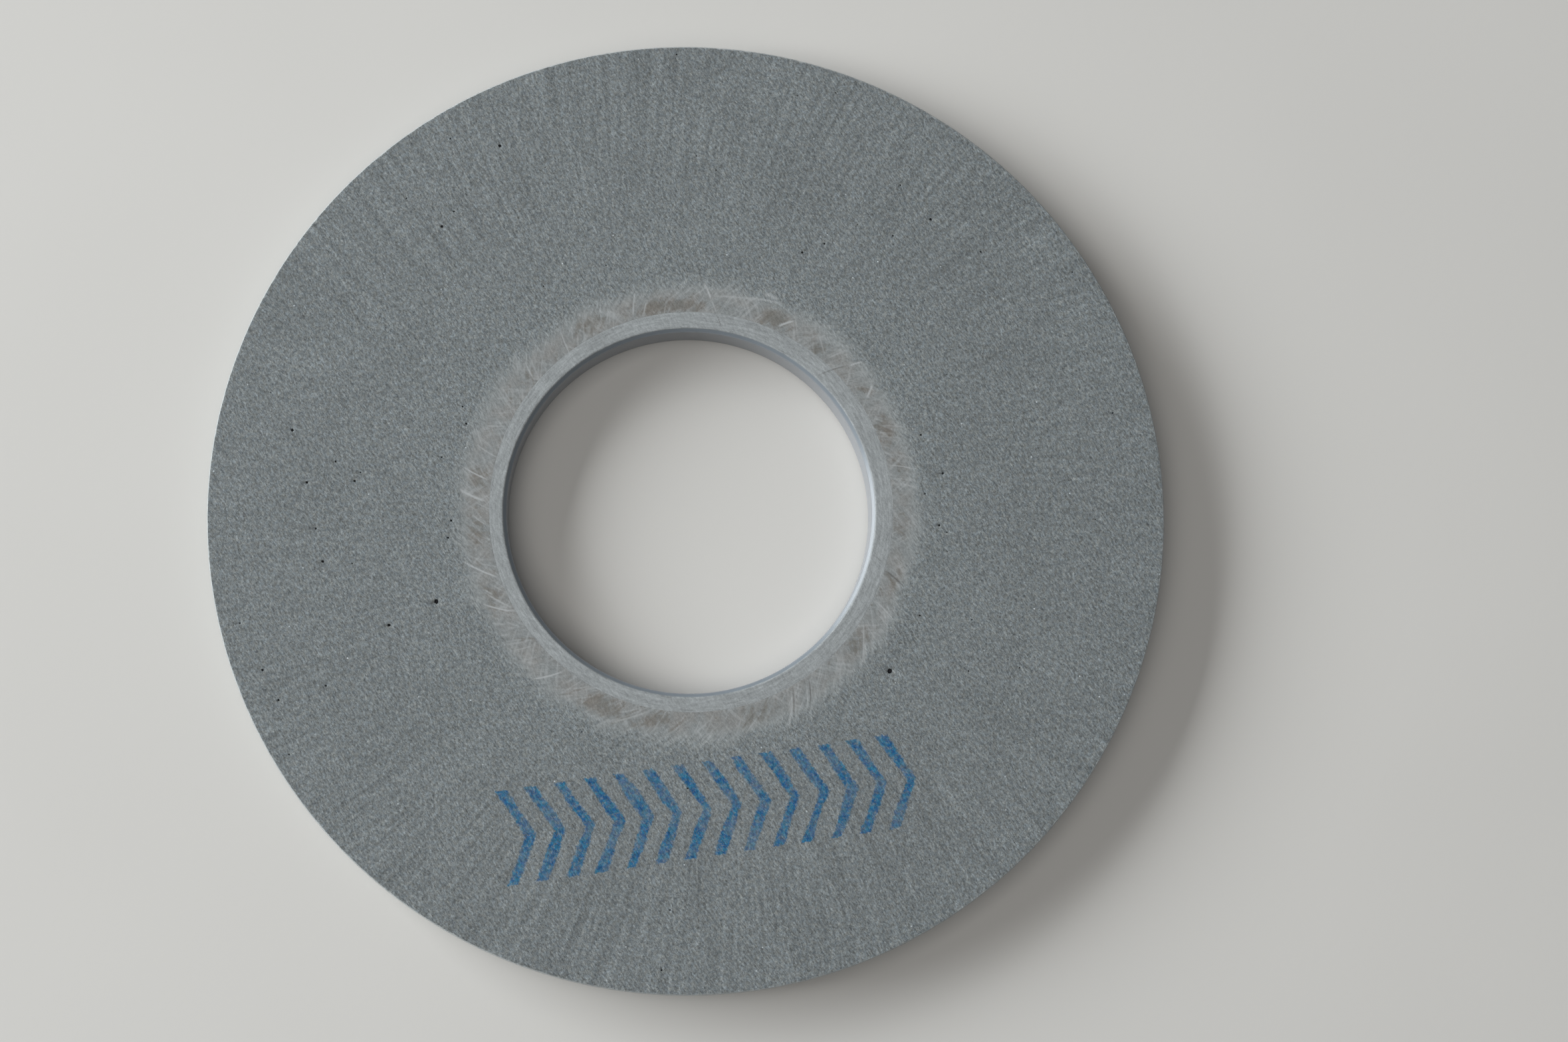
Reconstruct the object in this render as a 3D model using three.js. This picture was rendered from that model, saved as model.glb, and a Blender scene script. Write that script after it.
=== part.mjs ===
// A straight bonded abrasive wheel, 200 mm across, 10 mm wide, with a 76.2 mm (3 inch) bore.
// The grit ring is cast with a rough hole. A smooth bush is glued into that hole to bring it to the
// arbor size, and resin is brushed over the joint on both faces, where it soaks into the grit and is
// ground flush. Units are millimetres. +Z is the wheel's axis, the back face is at z = 0 and the
// front face, which carries the size stamp, is at z = WHEEL_WIDTH. The origin is on the axis.

import * as THREE from 'three';

// Driving dimensions
const WHEEL_RADIUS = 100;
const WHEEL_WIDTH = 10;
const BORE_RADIUS = 38.1;
const BUSH_WALL = 4.1;
const CEMENT_THICKNESS = 0.5;
const COLLAR_RADIUS = 48;
const COLLAR_DEPTH = 0.8;
const MOUTH_CHAMFER = { across: 0.9, deep: 0.7 };
const RIM_ARRIS = 0.2;

// Clearance between bonded pieces, so that their surfaces never cross
const BOND_GAP = 0.05;

// Flat facets around each turned surface
const FACETS = 120;

// Radii that follow from the driving dimensions
const bushRadius = BORE_RADIUS + BUSH_WALL;
const holeRadius = bushRadius + CEMENT_THICKNESS;

const FINISHES = {
  abrasive: { color: 0x72787a, roughness: 0.95, metalness: 0 },
  bush: { color: 0x8d9193, roughness: 0.5, metalness: 0 },
  cement: { color: 0x6d6558, roughness: 0.6, metalness: 0 },
  resin: { color: 0x82837e, roughness: 0.45, metalness: 0 },
};

/** A closed ring turned about the wheel's axis. The outline is [radius, height] corners, anticlockwise. */
function turnedRing(name, outline, finish) {
  const corners = outline.map(([radius, height]) => new THREE.Vector2(radius, height));
  corners.push(corners[0].clone());
  const geometry = new THREE.LatheGeometry(corners, FACETS);
  const mesh = new THREE.Mesh(geometry, new THREE.MeshStandardMaterial(finish));
  mesh.name = name;
  return mesh;
}

/** The grit ring, with a shallow seat for a resin collar around the hole on each face. */
function abrasiveRing() {
  const outline = [
    [COLLAR_RADIUS, 0],
    [WHEEL_RADIUS - RIM_ARRIS, 0],
    [WHEEL_RADIUS, RIM_ARRIS],
    [WHEEL_RADIUS, WHEEL_WIDTH - RIM_ARRIS],
    [WHEEL_RADIUS - RIM_ARRIS, WHEEL_WIDTH],
    [COLLAR_RADIUS, WHEEL_WIDTH],
    [COLLAR_RADIUS, WHEEL_WIDTH - COLLAR_DEPTH],
    [holeRadius, WHEEL_WIDTH - COLLAR_DEPTH],
    [holeRadius, COLLAR_DEPTH],
    [COLLAR_RADIUS, COLLAR_DEPTH],
  ];
  return turnedRing('abrasive_ring', outline, FINISHES.abrasive);
}

/** The bush that brings the hole to the arbor size, with a chamfered mouth on each face. */
function boreBush() {
  const mouthRadius = BORE_RADIUS + MOUTH_CHAMFER.across;
  const outline = [
    [mouthRadius, 0],
    [bushRadius, 0],
    [bushRadius, WHEEL_WIDTH],
    [mouthRadius, WHEEL_WIDTH],
    [BORE_RADIUS, WHEEL_WIDTH - MOUTH_CHAMFER.deep],
    [BORE_RADIUS, MOUTH_CHAMFER.deep],
  ];
  return turnedRing('bore_bush', outline, FINISHES.bush);
}

/** The thin sleeve of cement between the bush and the grit, under the two collars. */
function bushCement() {
  const low = COLLAR_DEPTH + BOND_GAP;
  const high = WHEEL_WIDTH - COLLAR_DEPTH - BOND_GAP;
  const outline = [
    [bushRadius + BOND_GAP, low],
    [holeRadius - BOND_GAP, low],
    [holeRadius - BOND_GAP, high],
    [bushRadius + BOND_GAP, high],
  ];
  return turnedRing('bush_cement', outline, FINISHES.cement);
}

/** One flush collar of resin around the bush, between two heights. */
function resinCollar(name, low, high) {
  const outline = [
    [bushRadius + BOND_GAP, low],
    [COLLAR_RADIUS - BOND_GAP, low],
    [COLLAR_RADIUS - BOND_GAP, high],
    [bushRadius + BOND_GAP, high],
  ];
  return turnedRing(name, outline, FINISHES.resin);
}

const collarHeight = COLLAR_DEPTH - BOND_GAP;
const wheel = new THREE.Group();
wheel.add(abrasiveRing());
wheel.add(boreBush());
wheel.add(bushCement());
wheel.add(resinCollar('front_resin_collar', WHEEL_WIDTH - collarHeight, WHEEL_WIDTH));
wheel.add(resinCollar('back_resin_collar', 0, collarHeight));

// A lathe turns its outline about +Y, and the wheel's axis is +Z
wheel.rotation.x = Math.PI / 2;

export default wheel;
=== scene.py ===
"""The looks of a straight bonded abrasive wheel that lies on its back face on a pale floor.

Lengths in this file are millimetres, in the part's own frame: +Z is the wheel's axis, the back face is
at z = 0 and the front face, with the ink mark, is on top. Meshes are scaled to metres when they are
made, and materials read their place in millimetres too.
"""

import math
import random

import bmesh
import bpy
import numpy as np
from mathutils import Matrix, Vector


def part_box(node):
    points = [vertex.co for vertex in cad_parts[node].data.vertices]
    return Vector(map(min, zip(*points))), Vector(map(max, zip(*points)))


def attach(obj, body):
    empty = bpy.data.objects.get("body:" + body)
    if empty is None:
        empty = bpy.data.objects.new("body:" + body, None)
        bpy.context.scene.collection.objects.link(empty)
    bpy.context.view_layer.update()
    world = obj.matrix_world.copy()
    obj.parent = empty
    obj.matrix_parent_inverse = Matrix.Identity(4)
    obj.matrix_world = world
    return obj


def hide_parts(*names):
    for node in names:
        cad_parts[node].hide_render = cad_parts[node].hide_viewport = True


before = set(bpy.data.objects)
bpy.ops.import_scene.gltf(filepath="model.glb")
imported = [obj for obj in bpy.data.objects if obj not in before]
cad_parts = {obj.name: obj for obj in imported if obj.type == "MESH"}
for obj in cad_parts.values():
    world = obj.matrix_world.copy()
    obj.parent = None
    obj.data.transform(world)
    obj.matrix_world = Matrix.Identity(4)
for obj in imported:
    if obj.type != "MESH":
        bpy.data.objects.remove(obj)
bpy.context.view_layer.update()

MM = 0.001


def radii(node):
    """The smallest and largest distance of a CAD node from the wheel's axis, in mm."""
    reach = [math.hypot(v.co.x, v.co.y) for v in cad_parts[node].data.vertices]
    return min(reach) / MM, max(reach) / MM


# Sizes that the CAD model sets
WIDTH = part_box("abrasive_ring")[1].z / MM
WHEEL_RADIUS = radii("abrasive_ring")[1]
BORE_RADIUS, BUSH_RADIUS = radii("bore_bush")
COLLAR_RADIUS = radii("front_resin_collar")[1]
CEMENT_INNER, CEMENT_OUTER = radii("bush_cement")
COLLAR_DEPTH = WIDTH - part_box("front_resin_collar")[0].z / MM
SLEEVE_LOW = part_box("bush_cement")[0].z / MM

# How finely the turned pieces are cut
COLUMNS = 1080
COLLAR_COLUMNS = 2160
HIDDEN_COLUMNS = 180
FRONT_OUTER_ROWS = 19
BACK_OUTER_ROWS = 12
RIM_ROWS = 10
BUSH_RIDGES = 18
COLLAR_ROWS = 26
SLEEVE_ROWS = 7
SMOOTH_ANGLE = 35
SCRATCH_ATTRIBUTE = "scratch"
STAIN_ATTRIBUTE = "stain"

# Each piece has its own texture layout, so that the grit keeps its fineness when it is baked
LAYOUT_NAME = "OFBake"
LAYOUT_REACH = 0.496
RING_SCALE = 0.00465
BACK_SCALE = 0.0019
SEAT_REACH = 0.199
SEAT_SCALE = 0.0004
BUSH_SCALE = 0.0112
COLLAR_SCALE = 0.0102
EDGE_BAND = 0.75
RIM_START = 0.5

# Small shape detail that the plain CAD solids leave out
BUSH_OFF_CENTRE = (0.43, 0.17)
MOUTH_ACROSS = 0.9
MOUTH_DEEP = 0.7
LIP_RADIUS = 0.7
THROAT_RADIUS = 0.4
FIRST_RIDGE = 0.3
RIM_ARRIS = 0.22
EDGE_CHIPS = 60
FACE_RIPPLE = 0.005
SEAM_WIDTH = 0.05
SEAM_GAP = 0.002
SCRATCH_DEPTH = 0.02
SCRATCHED_ROWS = 14
SCRATCHED_ROW_GAP = 0.25
FACE_TOLERANCE = 0.05


def turns(columns):
    """The angle of each column round the wheel, in radians."""
    return np.arange(columns) * (2 * math.pi / columns)


angles = turns(COLUMNS)


# ---------------------------------------------------------------- shape helpers


def seam_radius(theta):
    """Distance from the wheel's axis to the bush's outer wall, which was cast a little off centre."""
    x, y = BUSH_OFF_CENTRE
    along = x * np.cos(theta) + y * np.sin(theta)
    across = x * np.sin(theta) - y * np.cos(theta)
    return along + np.sqrt(BUSH_RADIUS**2 - across**2)


def smooth_waves(theta, counts, seed):
    """A gentle closed wave round the wheel, about -1 to 1, from sines with these numbers of periods."""
    rng = random.Random(seed)
    total = np.zeros_like(theta)
    for count in counts:
        total += np.sin(count * theta + rng.uniform(0, 2 * math.pi)) / len(counts) ** 0.5
    return total


def softened(ripple):
    """The ripple with each value averaged with its two neighbours."""
    return (ripple + np.roll(ripple, 1) + np.roll(ripple, -1)) / 3


def collar_edge(theta, seed):
    """The uneven line where a resin collar ends, close to its CAD radius."""
    return COLLAR_RADIUS + 0.12 * smooth_waves(theta, (2, 3, 7, 11, 17, 29), seed)


def closed_rows(rows):
    """Grid points (row, column, xyz) of a closed section that goes round the axis."""
    columns = len(np.broadcast_arrays(*rows[0])[0])
    theta = turns(columns)
    grid = np.zeros((len(rows), columns, 3))
    for i, (radius, height) in enumerate(rows):
        grid[i, :, 0] = radius * np.cos(theta)
        grid[i, :, 1] = radius * np.sin(theta)
        grid[i, :, 2] = height
    return grid


def grid_cells(grid):
    """The grid's quads, as a dict from (row, column) to four point numbers."""
    rows, columns = grid.shape[:2]
    cells = {}
    for i in range(rows):
        below = (i + 1) % rows
        for j in range(columns):
            right = (j + 1) % columns
            cells[i, j] = (
                i * columns + j,
                below * columns + j,
                below * columns + right,
                i * columns + right,
            )
    return cells


def add_piece(name, points, faces, material, marks=None, replaces=()):
    """Makes a mesh piece from points in mm, drops unused points, and rides it on the wheel's body.

    marks names the attributes that the material reads, each with one number for each grid point.
    """
    bm = bmesh.new()
    used = sorted({p for face in faces for p in face})
    verts = {p: bm.verts.new(Vector(points[p]) * MM) for p in used}
    for face in faces:
        bm.faces.new([verts[p] for p in face])
    bmesh.ops.recalc_face_normals(bm, faces=bm.faces)
    mesh = bpy.data.meshes.new(name)
    bm.to_mesh(mesh)
    bm.free()
    mesh.polygons.foreach_set("use_smooth", [True] * len(mesh.polygons))
    mesh.set_sharp_from_angle(angle=math.radians(SMOOTH_ANGLE))
    for attribute, values in (marks or {}).items():
        layer = mesh.attributes.new(attribute, "FLOAT", "POINT")
        layer.data.foreach_set("value", [values[p] if p < len(values) else 0.0 for p in used])
    mesh.materials.append(material)
    piece = bpy.data.objects.new(name, mesh)
    bpy.context.scene.collection.objects.link(piece)
    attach(piece, "root")
    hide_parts(*replaces)
    return piece


def face_corners(mesh):
    """Of every face corner: the number of its point, its place in mm, and the middle of its face."""
    numbers = np.empty(len(mesh.loops), dtype=np.int32)
    mesh.loops.foreach_get("vertex_index", numbers)
    places = np.empty(len(mesh.vertices) * 3)
    mesh.vertices.foreach_get("co", places)
    middles = np.empty(len(mesh.polygons) * 3)
    mesh.polygons.foreach_get("center", middles)
    sizes = np.empty(len(mesh.polygons), dtype=np.int32)
    mesh.polygons.foreach_get("loop_total", sizes)
    middles = np.repeat(middles.reshape(-1, 3), sizes, axis=0)
    return numbers, places.reshape(-1, 3)[numbers] / MM, middles / MM


def set_layout(mesh, places, reach, mirrored):
    """Lays the faces out round the middle of the texture square: reach is how far out each corner goes."""
    turn = np.arctan2(places[:, 1], places[:, 0])
    turn = np.where(mirrored, -turn, turn)
    spots = 0.5 + np.stack([reach * np.cos(turn), reach * np.sin(turn)], axis=1)
    layer = mesh.uv_layers.new(name=LAYOUT_NAME)
    layer.data.foreach_set("uv", spots.ravel())


def lay_out_inwards(piece, grid, scale, mirrored=False):
    """A layout for a closed section: its first row goes outermost, and the others follow it inwards."""
    rows, columns = grid.shape[:2]
    section = np.stack([np.hypot(grid[:, :, 0], grid[:, :, 1]).mean(1), grid[:, :, 2].mean(1)], axis=1)
    steps = np.linalg.norm(np.roll(section, -1, axis=0) - section, axis=1)
    path = np.concatenate([[0], np.cumsum(steps)])
    numbers, places, _ = face_corners(piece.data)
    row = (numbers // columns).reshape(-1, 4)
    closing = (row.min(axis=1) == 0) & (row.max(axis=1) == rows - 1)
    row = np.where(closing[:, None] & (row == 0), rows, row).ravel()
    set_layout(piece.data, places, LAYOUT_REACH - scale * path[row], mirrored)


def rounded(before, corner, after, radius, steps):
    """Points of a small arc that rounds the corner between two straight stretches."""
    corner = Vector(corner)
    to_before = (Vector(before) - corner).normalized()
    to_after = (Vector(after) - corner).normalized()
    half_angle = to_before.angle(to_after) / 2
    reach = radius / math.tan(half_angle)
    centre = corner + (to_before + to_after).normalized() * (radius / math.sin(half_angle))
    start = (corner + to_before * reach - centre).normalized()
    end = (corner + to_after * reach - centre).normalized()
    return [tuple(centre + radius * start.slerp(end, k / steps)) for k in range(steps + 1)]


# ---------------------------------------------------------------- scratches

# The scratches that catch the eye on the front face: the two ends, each as degrees round the wheel
# and radius, then the width, and how pale the scratch is, or how dark where that is below zero
SCRATCHES = [
    ((177.2, 42.6), (174.6, 48.1), 0.55, 0.8),
    ((171.1, 42.4), (168.8, 48.2), 0.32, 0.8),
    ((175.4, 43.6), (168.4, 48.6), 0.4, 0.45),
    ((164.6, 40.6), (162.4, 46.8), 0.3, 0.55),
    ((162.6, 45.2), (157.2, 48.6), 0.35, 0.4),
    ((154.9, 42.4), (157.2, 46.6), 0.3, 0.55),
    ((151.2, 43.2), (153.6, 46.6), 0.3, 0.45),
    ((148.6, 43.0), (146.2, 47.6), 0.4, 0.35),
    ((139.6, 42.6), (137.4, 46.8), 0.3, 0.6),
    ((141.0, 46.0), (137.2, 49.6), 0.35, 0.4),
    ((127.4, 40.2), (124.9, 47.8), 0.3, 0.6),
    ((115.2, 42.9), (117.8, 46.8), 0.3, 0.4),
    ((114.7, 44.2), (112.6, 48.6), 0.35, 0.45),
    ((106.1, 42.6), (103.4, 48.6), 0.38, 0.6),
    ((102.9, 42.9), (101.4, 45.4), 0.35, 0.6),
    ((97.3, 41.6), (95.9, 45.6), 0.22, 0.4),
    ((89.4, 53.8), (86.4, 48.6), 0.32, -0.45),
    ((86.4, 48.8), (84.2, 45.2), 0.36, 1.0),
    ((84.2, 45.2), (82.2, 42.4), 0.26, 0.6),
    ((82.3, 42.4), (80.3, 39.6), 0.24, -0.6),
    ((84.6, 45.9), (70.5, 47.4), 0.45, 0.5),
    ((76.0, 46.9), (64.9, 48.5), 0.5, 0.55),
    ((64.6, 43.5), (61.3, 46.2), 0.45, 0.9),
    ((71.4, 49.0), (67.2, 48.8), 0.9, 0.6),
    ((73.5, 49.9), (66.0, 50.1), 0.7, 0.25),
    ((42.6, 45.6), (40.9, 48.7), 0.4, 0.75),
    ((46.9, 39.4), (42.8, 45.6), 0.3, -0.55),
    ((48.1, 43.4), (45.4, 48.8), 0.32, 0.4),
    ((54.4, 46.6), (49.3, 43.6), 0.35, 0.5),
    ((35.0, 47.0), (32.8, 44.3), 0.5, 0.75),
    ((24.4, 43.8), (21.4, 48.8), 0.4, 0.4),
    ((13.2, 42.8), (10.5, 48.4), 0.32, 0.6),
    ((9.2, 43.4), (7.8, 47.2), 0.36, 0.4),
    ((7.8, 43.8), (5.7, 48.2), 0.5, 0.5),
    ((342.9, 42.7), (340.7, 46.8), 0.4, -0.7),
    ((349.6, 39.3), (347.6, 42.4), 0.3, 0.5),
    ((346.6, 39.3), (344.6, 42.0), 0.26, -0.5),
    ((334.0, 42.8), (331.6, 48.0), 0.36, 0.6),
    ((332.6, 43.4), (330.3, 48.2), 0.3, 0.5),
    ((331.0, 44.4), (329.2, 48.4), 0.3, 0.4),
    ((326.8, 43.0), (317.6, 48.4), 0.4, 0.55),
    ((305.2, 42.6), (301.6, 47.6), 0.24, -0.7),
    ((303.4, 43.6), (300.4, 48.0), 0.3, 0.5),
    ((299.9, 42.6), (296.6, 47.8), 0.26, -0.6),
    ((299.0, 43.0), (295.4, 48.6), 0.4, 0.6),
    ((297.6, 44.8), (293.8, 50.2), 0.6, 0.45),
    ((258.6, 42.5), (248.6, 47.4), 0.45, 0.5),
    ((248.6, 47.4), (242.0, 47.2), 0.45, 0.45),
    ((256.0, 42.3), (250.4, 44.6), 0.4, 0.5),
    ((232.2, 42.2), (226.6, 48.4), 0.35, 0.75),
    ((239.6, 44.4), (241.2, 46.8), 0.3, 0.4),
    ((210.0, 42.0), (204.2, 47.3), 0.34, 0.8),
    ((208.8, 42.0), (201.8, 45.8), 0.36, 0.65),
    ((215.0, 42.4), (210.8, 44.8), 0.34, 0.5),
    ((211.8, 44.8), (209.6, 47.4), 0.4, 0.5),
    ((214.6, 45.2), (213.2, 47.4), 0.36, 0.4),
    ((203.2, 44.4), (200.8, 45.8), 0.32, 0.6),
    ((199.4, 42.0), (192.2, 48.6), 0.34, 0.9),
    ((193.6, 46.2), (190.4, 48.0), 0.36, 0.5),
    ((188.2, 45.0), (185.6, 47.0), 0.36, 0.35),
    ((184.2, 42.2), (180.8, 45.4), 0.36, 0.55),
]
FINE_SCRATCHES = 300

# Shares of a scratch's length or width: how far it bows, how long its ends taper, how softly it fades
SCRATCH_BOW = 0.03
SCRATCH_TAPER = 0.25
SCRATCH_SPREAD = 0.55


def fine_scratches(seed):
    """Short faint scratches all round the resin and the bush. Most lean the way the scraper went."""
    rng = random.Random(seed)
    found = []
    for _ in range(FINE_SCRATCHES):
        lean = rng.uniform(0.3, 1.6) if rng.random() < 0.75 else -rng.uniform(0.2, 1.4)
        start = rng.uniform(BORE_RADIUS + 1, COLLAR_RADIUS - 1)
        rise = rng.uniform(1.2, 4.5) / math.hypot(1, lean)
        turn = rng.uniform(0, 360)
        swing = math.degrees(lean * rise / start)
        end = (turn - swing, start + rise)
        found.append(((turn, start), end, rng.uniform(0.34, 0.65), rng.uniform(0.05, 0.24)))
    return found


def from_polar(place):
    """x and y of a place that is given as degrees round the wheel and radius."""
    turn, radius = place
    return np.array([radius * math.cos(math.radians(turn)), radius * math.sin(math.radians(turn))])


def scratch_marks(x, y, scratches):
    """How scratched the face is at these places, from -1, a dark scratch, to 1, a pale one."""
    marks = np.zeros_like(x)
    for start, end, width, strength in scratches:
        start, end = from_polar(start), from_polar(end)
        length = np.linalg.norm(end - start)
        direction = (end - start) / length
        along = (x - start[0]) * direction[0] + (y - start[1]) * direction[1]
        across = (x - start[0]) * direction[1] - (y - start[1]) * direction[0]
        bow = SCRATCH_BOW * length * ((2 * along / length - 1) ** 2 - 1)
        near = np.exp(-(((across - bow) / (width * SCRATCH_SPREAD)) ** 2))
        taper = np.clip(np.minimum(along, length - along) / (SCRATCH_TAPER * length), 0, 1)
        mark = strength * near * taper**0.5
        marks = np.where(np.abs(mark) > np.abs(marks), mark, marks)
    return marks


# Where smooth brown resin shows: degrees round the wheel, radius, half its length in degrees, half
# its width, and how strong it is
FRONT_STAINS = [
    (95, 43.9, 9.0, 1.8, 1.0),
    (66.5, 45.2, 5.0, 2.6, 1.0),
    (118, 44.6, 4.0, 2.2, 0.8),
    (140, 44.2, 5.0, 1.8, 0.5),
    (171, 44.8, 3.4, 2.4, 0.8),
    (186, 45.0, 3.2, 2.4, 0.7),
    (204, 45.0, 4.0, 2.2, 0.8),
    (246, 44.8, 7.0, 2.6, 0.85),
    (263, 44.6, 4.6, 2.4, 0.5),
    (287, 44.8, 4.6, 2.2, 0.55),
    (322, 44.8, 4.0, 2.4, 0.6),
    (341, 45.8, 4.0, 2.2, 0.5),
    (355, 44.8, 4.6, 2.4, 0.5),
    (10, 45.2, 4.6, 2.6, 0.5),
    (23, 45.0, 4.6, 2.6, 0.55),
    (36, 45.2, 3.6, 2.2, 0.4),
    (52, 44.2, 3.4, 1.8, 0.5),
]
BACK_STAINS = 15


def back_stains(seed):
    """The same kind of list for the back face."""
    rng = random.Random(seed)
    spread = 360 / BACK_STAINS
    stains = []
    for k in range(BACK_STAINS):
        turn = (k + rng.uniform(-0.4, 0.4)) * spread
        length = rng.uniform(2.6, 7.0)
        stains.append((turn, rng.uniform(44, 46), length, rng.uniform(1.6, 2.6), rng.uniform(0.5, 1)))
    return stains


def stain_marks(x, y, stains):
    """How brown the resin is at these places, from 0 to 1."""
    reach = np.hypot(x, y)
    turn = np.degrees(np.arctan2(y, x))
    marks = np.zeros_like(x)
    for middle, radius, length, width, strength in stains:
        off = (turn - middle + 180) % 360 - 180
        near = np.exp(-((off / length) ** 2) - ((reach - radius) / width) ** 2)
        marks = np.maximum(marks, strength * near)
    return marks


def near_points(grid, face):
    """Which of a grid's points lie on the face at that height, near enough to the bush to be worked."""
    on_face = np.abs(grid[:, :, 2] - face) < FACE_TOLERANCE
    reach = np.hypot(grid[:, :, 0], grid[:, :, 1])
    last = COLLAR_RADIUS + SCRATCHED_ROWS * SCRATCHED_ROW_GAP
    return on_face & (reach > BORE_RADIUS) & (reach < last)


def face_marks(grid):
    """The scratches and the stains at all points of a grid, by the names of their attributes."""
    scratches = np.zeros(grid.shape[:2])
    stains = np.zeros(grid.shape[:2])
    works = (
        (WIDTH, SCRATCHES + fine_scratches(71), FRONT_STAINS),
        (0, fine_scratches(72), back_stains(73)),
    )
    for face, lines, patches in works:
        chosen = near_points(grid, face)
        x, y = grid[:, :, 0][chosen], grid[:, :, 1][chosen]
        scratches[chosen] = scratch_marks(x, y, lines)
        stains[chosen] = stain_marks(x, y, patches)
    return {SCRATCH_ATTRIBUTE: scratches.ravel(), STAIN_ATTRIBUTE: stains.ravel()}


# ---------------------------------------------------------------- pores in the grit

# The pores that catch the eye: x, y and diameter on the front face
LARGE_PORES = [
    (-2.5, 98.2, 0.4),
    (-40, 78, 0.65),
    (45, 70, 0.4),
    (-49.5, 63.7, 0.4),
    (51.4, 62.6, 0.6),
    (-52, 60.5, 0.6),
    (43.3, 59, 0.4),
    (28.7, 57.2, 0.45),
    (62, 55.6, 0.45),
    (24, 55.3, 0.5),
    (81.5, 51.3, 0.35),
    (-47.4, 22, 0.4),
    (-46.6, 18.4, 0.5),
    (-82.6, 17, 0.6),
    (48.7, 16.2, 0.45),
    (-73.6, 10.4, 0.45),
    (53.2, 8, 0.5),
    (-79.5, 6, 0.6),
    (-69.6, 6.3, 0.55),
    (49.4, 3.7, 0.35),
    (-49.6, -2, 0.5),
    (52.3, -3, 0.55),
    (-77.5, -3.7, 0.4),
    (-50.2, -5.6, 0.45),
    (-76, -10.5, 0.6),
    (-52.5, -18.9, 0.9),
    (48, -22, 0.4),
    (-62.2, -23.8, 0.65),
    (-88, -33, 0.5),
    (68.7, -33, 0.35),
    (-75, -36.3, 0.4),
    (41.5, -33.6, 1.0),
    (-84.6, -39.2, 0.5),
    (-82.3, -50.4, 0.35),
]
SMALL_PORES_PER_FACE = 36
RIM_PORES = 40

# The rings of points that make a pit: how far out and how deep each is, as shares of its diameter
PIT_RINGS = ((0.62, 0.0), (0.5, 0.06), (0.42, 0.45), (0.24, 0.7))
PIT_BOTTOM = 0.75


def cut_opening(grid, cells, centre, size):
    """Takes the cells round a place out of the surface. Returns the points round the hole, in order.

    The list is empty where the hole would run into another one.
    """
    columns = grid.shape[1]
    distances = ((grid - centre) ** 2).sum(2)
    near = np.argwhere(distances < (size * 1.1) ** 2)
    if not len(near):
        near = np.array([np.unravel_index(distances.argmin(), grid.shape[:2])])
    middle = near[0][1]
    offsets = (near[:, 1] - middle + columns // 2) % columns - columns // 2
    row_low, row_high = near[:, 0].min() - 1, near[:, 0].max() + 1
    column_low, column_high = middle + offsets.min() - 1, middle + offsets.max() + 1
    tall, wide = range(row_low, row_high), range(column_low, column_high)
    block = [(i, j % columns) for i in tall for j in wide]
    if any(cell not in cells for cell in block):
        return []
    for cell in block:
        del cells[cell]
    loop = [(row_low, j) for j in wide]
    loop += [(i, column_high) for i in tall]
    loop += [(row_high, j) for j in range(column_high, column_low, -1)]
    loop += [(i, column_low) for i in range(row_high, row_low, -1)]
    return [i * columns + j % columns for i, j in loop]


def dig_pore(opening, points, faces, centre, normal, size, rng):
    """Fills an opening in the surface with a small round, ragged pit. Points and faces are added."""
    if not opening:
        return
    side = normal.orthogonal().normalized()
    up = normal.cross(side)
    away = [points[point] - centre for point in opening]
    seen = np.unwrap([math.atan2(a.dot(up), a.dot(side)) for a in away])
    even = np.sign(seen[-1] - seen[0]) * np.arange(len(opening)) * (2 * math.pi / len(opening))
    pit_turns = even + (seen - even).mean()
    ragged = [rng.uniform(0.8, 1.2) for _ in opening]
    previous = opening
    for share, depth in PIT_RINGS:
        ring = []
        for turn, stretch in zip(pit_turns, ragged):
            reach = side * math.cos(turn) + up * math.sin(turn)
            ring.append(len(points))
            points.append(centre + reach * size * share * stretch - normal * size * depth)
        for k in range(len(ring)):
            following = (k + 1) % len(ring)
            faces.append((previous[k], previous[following], ring[following], ring[k]))
        previous = ring
    bottom = len(points)
    points.append(centre - normal * size * PIT_BOTTOM)
    for k in range(len(previous)):
        faces.append((previous[k], previous[(k + 1) % len(previous)], bottom))


def pore_places(rng):
    """Every pore as (centre, outward normal, diameter), on both faces and round the rim."""
    front, back = Vector((0, 0, 1)), Vector((0, 0, -1))
    places = [(Vector((x, y, WIDTH)), front, size) for x, y, size in LARGE_PORES]
    for normal, height in ((front, WIDTH), (back, 0)):
        for _ in range(SMALL_PORES_PER_FACE):
            radius = math.sqrt(rng.uniform((COLLAR_RADIUS + 3) ** 2, (WHEEL_RADIUS - 3) ** 2))
            turn = rng.uniform(0, 2 * math.pi)
            place = Vector((radius * math.cos(turn), radius * math.sin(turn), height))
            places.append((place, normal, rng.uniform(0.2, 0.4)))
    for _ in range(RIM_PORES):
        turn = rng.uniform(0, 2 * math.pi)
        normal = Vector((math.cos(turn), math.sin(turn), 0))
        place = normal * WHEEL_RADIUS
        place.z = rng.uniform(1.5, WIDTH - 1.5)
        places.append((place, normal, rng.uniform(0.25, 0.6)))
    return places


# ---------------------------------------------------------------- pieces


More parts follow.
